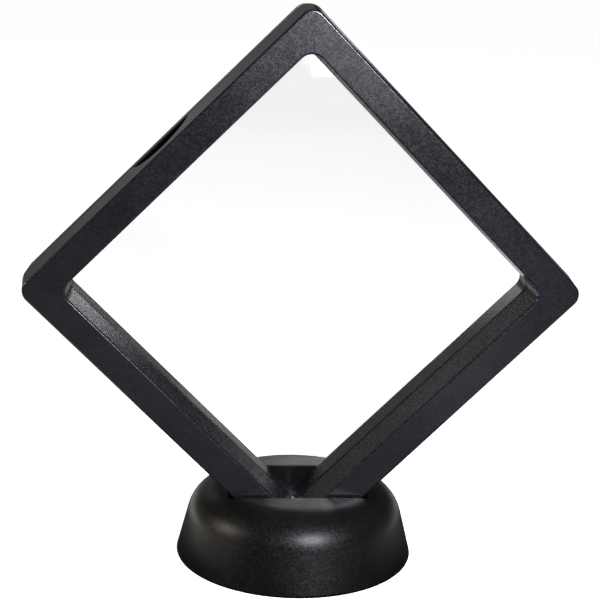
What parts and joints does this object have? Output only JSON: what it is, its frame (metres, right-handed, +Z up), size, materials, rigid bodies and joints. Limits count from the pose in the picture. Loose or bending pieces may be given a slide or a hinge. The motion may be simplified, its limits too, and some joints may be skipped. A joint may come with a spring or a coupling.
{
  "type": "floating display frame",
  "caption": "Square display frame in two hinged halves with clear stretched films, standing as a diamond in the slot of a round base.",
  "frame": {"origin": "on the table, under the middle of the base", "axes": "+Z up, the frame's front face looks along -Y, its closing side faces up and to the left (-X, +Z), its hinge side down and to the right (+X, -Z)"},
  "size_m": [0.126, 0.0554, 0.1285],
  "materials": {
    "frame_plastic": "fine spark-eroded grain, matt black",
    "carrier_plastic": "smooth matt black",
    "clear_film": "clear, glossy, stretched",
    "pin_steel": "drawn wire",
    "base_plastic": "fine spark-eroded grain, satin black"
  },
  "bodies": {
    "base": {"base_stand": "base_plastic"},
    "rear_half": {"rear_frame": "frame_plastic", "rear_carrier_ring": "carrier_plastic", "rear_film": "clear_film", "upper_hinge_pin": "pin_steel", "lower_hinge_pin": "pin_steel"},
    "front_half": {"front_frame": "frame_plastic", "front_carrier_ring": "carrier_plastic", "front_film": "clear_film"}
  },
  "joints": [
    {"name": "lift_off", "type": "slide", "parent": "base", "child": "rear_half", "axis": [0, 0, 1], "range_m": [0, 0.42]},
    {"name": "opening", "type": "hinge", "parent": "rear_half", "child": "front_half", "pos_m": [0.03291, 0, 0.03258], "axis": [0.7071, 0, 0.7071], "range_deg": [0, 180]}
  ],
  "couplings": [
    {"joint": "opening", "follows": "lift_off", "rad_per_m": 7.45}
  ]
}
